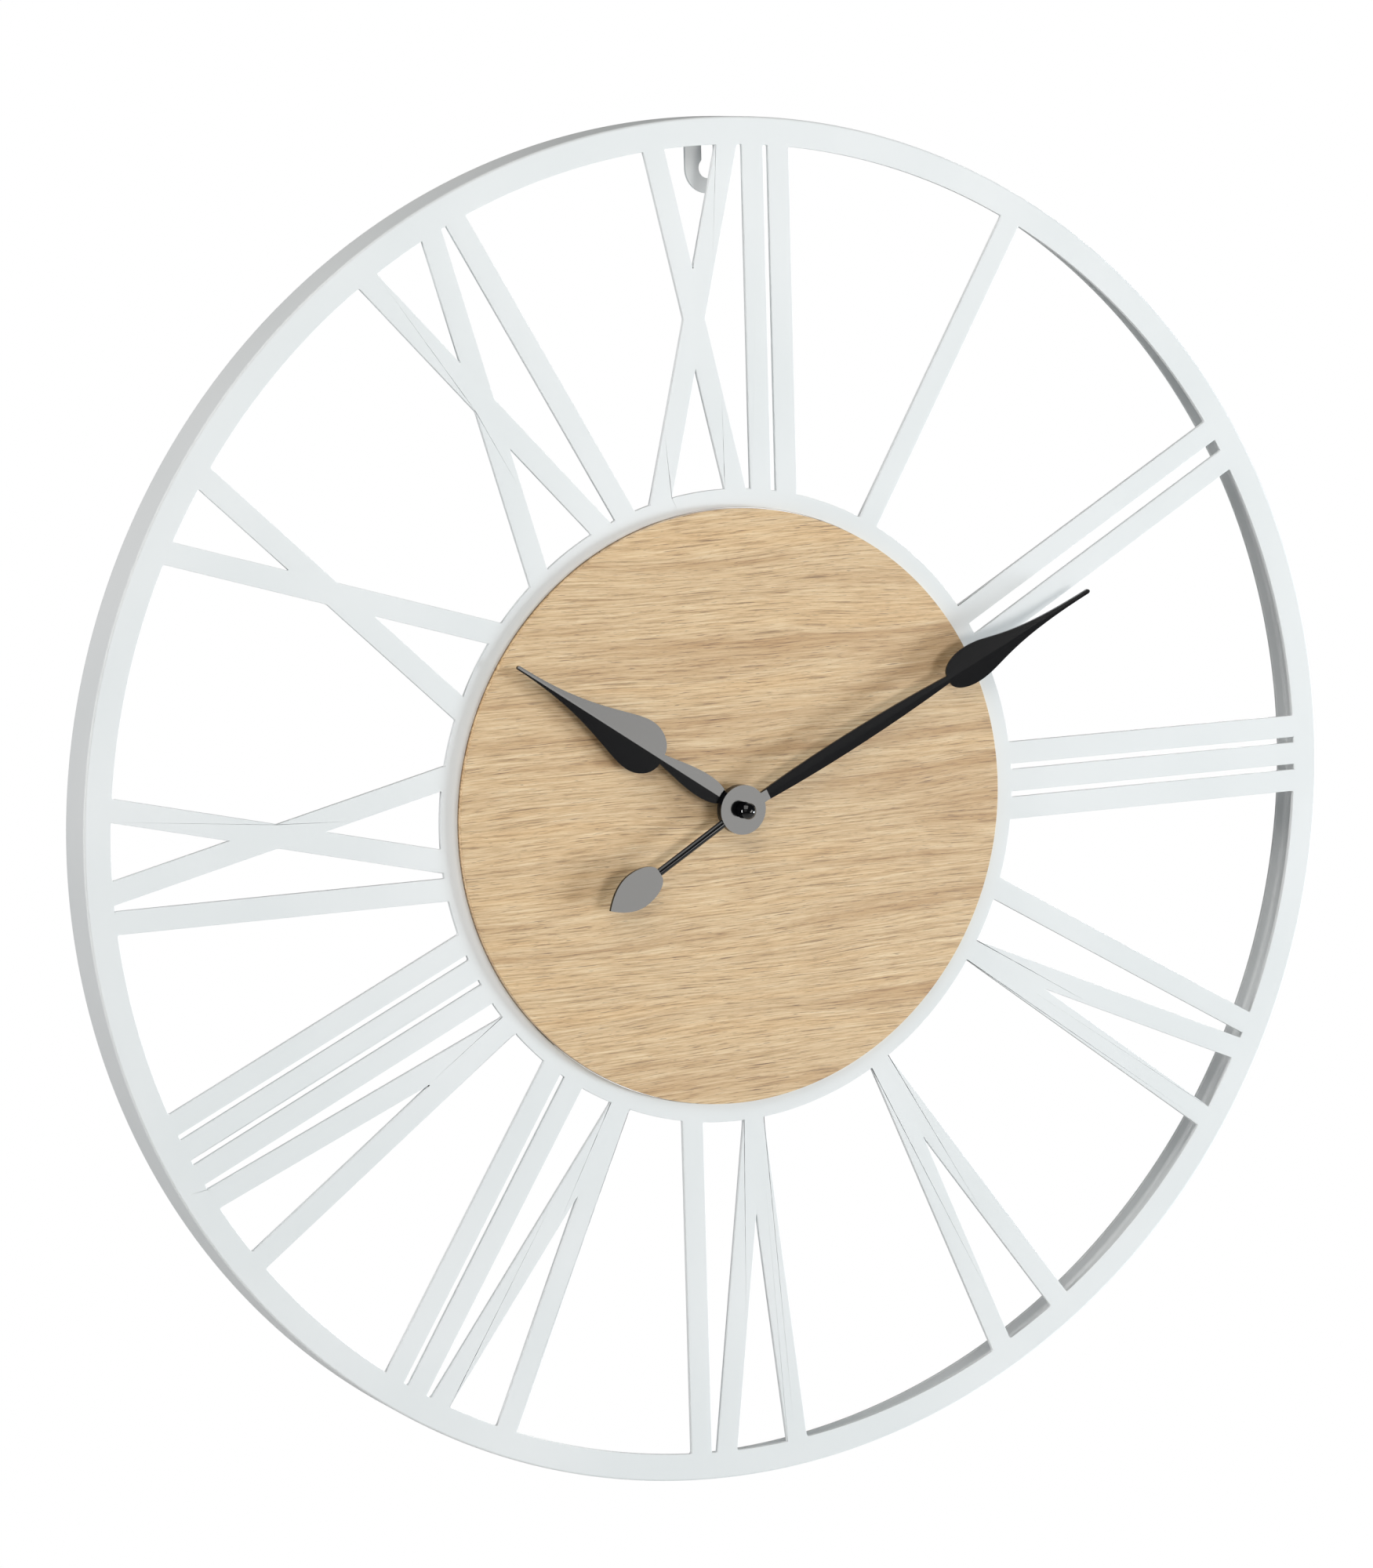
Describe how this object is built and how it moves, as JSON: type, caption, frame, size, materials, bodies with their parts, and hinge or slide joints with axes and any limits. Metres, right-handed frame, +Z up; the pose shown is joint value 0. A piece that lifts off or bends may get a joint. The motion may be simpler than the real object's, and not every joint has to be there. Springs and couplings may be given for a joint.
{
  "type": "wall clock",
  "caption": "Round skeleton wall clock: white metal ring with cut-out roman numerals, oak-faced centre disc, black spade hands and a battery movement behind.",
  "frame": {"origin": "centre of the hanger keyhole's round hole, on the rear face of its tab", "axes": "+Z up, -Y towards the viewer in front of the dial, +Y towards the wall, +X to the right as the dial is read"},
  "size_m": [0.6, 0.0414, 0.6],
  "materials": {
    "white_steel": "satin powder coat",
    "zinc_screws": "bright zinc plate",
    "oak_face": "fine straight-grained oak, matt lacquer",
    "rubber": "matt",
    "case_plastic": "fine spark-eroded texture",
    "brass": "turned",
    "train_plastic": "moulded acetal",
    "circuit_board": "solder mask",
    "chip_resin": "epoxy blob",
    "crystal_can": "bright can",
    "bobbin_plastic": "moulded",
    "copper_wire": "enamelled copper wire",
    "soft_iron": "stamped, nickel plated",
    "contact_metal": "nickel-plated spring strip",
    "battery_jacket": "plain printed sleeve over steel",
    "magnet": "sintered",
    "wheel_plastic": "moulded acetal",
    "knob_plastic": "moulded",
    "black_hands": "gloss black lacquer on steel",
    "black_cap": "gloss black"
  },
  "bodies": {
    "clock": {"front_ring": "white_steel", "numeral_01": "white_steel", "numeral_02": "white_steel", "numeral_03": "white_steel", "numeral_04": "white_steel", "numeral_05": "white_steel", "numeral_06": "white_steel", "numeral_07": "white_steel", "numeral_08": "white_steel", "numeral_09": "white_steel", "numeral_10": "white_steel", "numeral_11": "white_steel", "numeral_12": "white_steel", "hub_ring": "white_steel", "rim_band": "white_steel", "hanger_tab": "white_steel", "disc_lugs": "white_steel", "lug_screws": "zinc_screws", "oak_disc": "oak_face", "rubber_gasket": "rubber", "movement_case": "case_plastic", "movement_cover": "case_plastic", "threaded_bush": "brass", "dial_washer": "brass", "hex_nut": "brass", "train_plate": "train_plastic", "circuit_board": "circuit_board", "chip_cap": "chip_resin", "quartz_crystal": "crystal_can", "coil_bobbin": "bobbin_plastic", "coil_winding": "copper_wire", "stator": "soft_iron", "positive_contact": "contact_metal", "negative_contact": "contact_metal"},
    "minute": {"minute_hand": "black_hands", "minute_arbor": "brass", "cap_nut": "black_cap", "centre_wheel": "brass"},
    "hour": {"hour_hand": "black_hands", "hour_wheel": "wheel_plastic"},
    "motion_work": {"motion_wheel": "wheel_plastic", "setting_knob": "knob_plastic"},
    "third": {"third_wheel": "wheel_plastic"},
    "seconds": {"seconds_wheel": "wheel_plastic"},
    "step": {"step_wheel": "wheel_plastic"},
    "rotor": {"rotor": "magnet"},
    "battery": {"battery": "battery_jacket"}
  },
  "joints": [
    {"name": "minute_spin", "type": "hinge", "parent": "clock", "child": "minute", "pos_m": [0, 0, -0.278], "axis": [0, 1, 0], "continuous": true},
    {"name": "hour_spin", "type": "hinge", "parent": "clock", "child": "hour", "pos_m": [0, 0, -0.278], "axis": [0, 1, 0], "continuous": true},
    {"name": "motion_work_spin", "type": "hinge", "parent": "clock", "child": "motion_work", "pos_m": [-0.00764, 0, -0.28564], "axis": [0, 1, 0], "continuous": true},
    {"name": "third_spin", "type": "hinge", "parent": "clock", "child": "third", "pos_m": [-0.00713, 0, -0.27087], "axis": [0, 1, 0], "continuous": true},
    {"name": "seconds_spin", "type": "hinge", "parent": "clock", "child": "seconds", "pos_m": [0, 0, -0.278], "axis": [0, 1, 0], "continuous": true},
    {"name": "step_spin", "type": "hinge", "parent": "clock", "child": "step", "pos_m": [0.01034, 0, -0.27618], "axis": [0, 1, 0], "continuous": true},
    {"name": "rotor_spin", "type": "hinge", "parent": "clock", "child": "rotor", "pos_m": [0.01394, 0, -0.28241], "axis": [0, 1, 0], "continuous": true},
    {"name": "battery_out", "type": "slide", "parent": "clock", "child": "battery", "axis": [0, 1, 0], "range_m": [0, 0.03]}
  ],
  "couplings": [
    {"joint": "hour_spin", "follows": "minute_spin", "ratio": 0.083333},
    {"joint": "motion_work_spin", "follows": "minute_spin", "ratio": -0.25},
    {"joint": "third_spin", "follows": "minute_spin", "ratio": -8},
    {"joint": "seconds_spin", "follows": "minute_spin", "ratio": 60},
    {"joint": "step_spin", "follows": "minute_spin", "ratio": -360},
    {"joint": "rotor_spin", "follows": "minute_spin", "ratio": 1800}
  ]
}
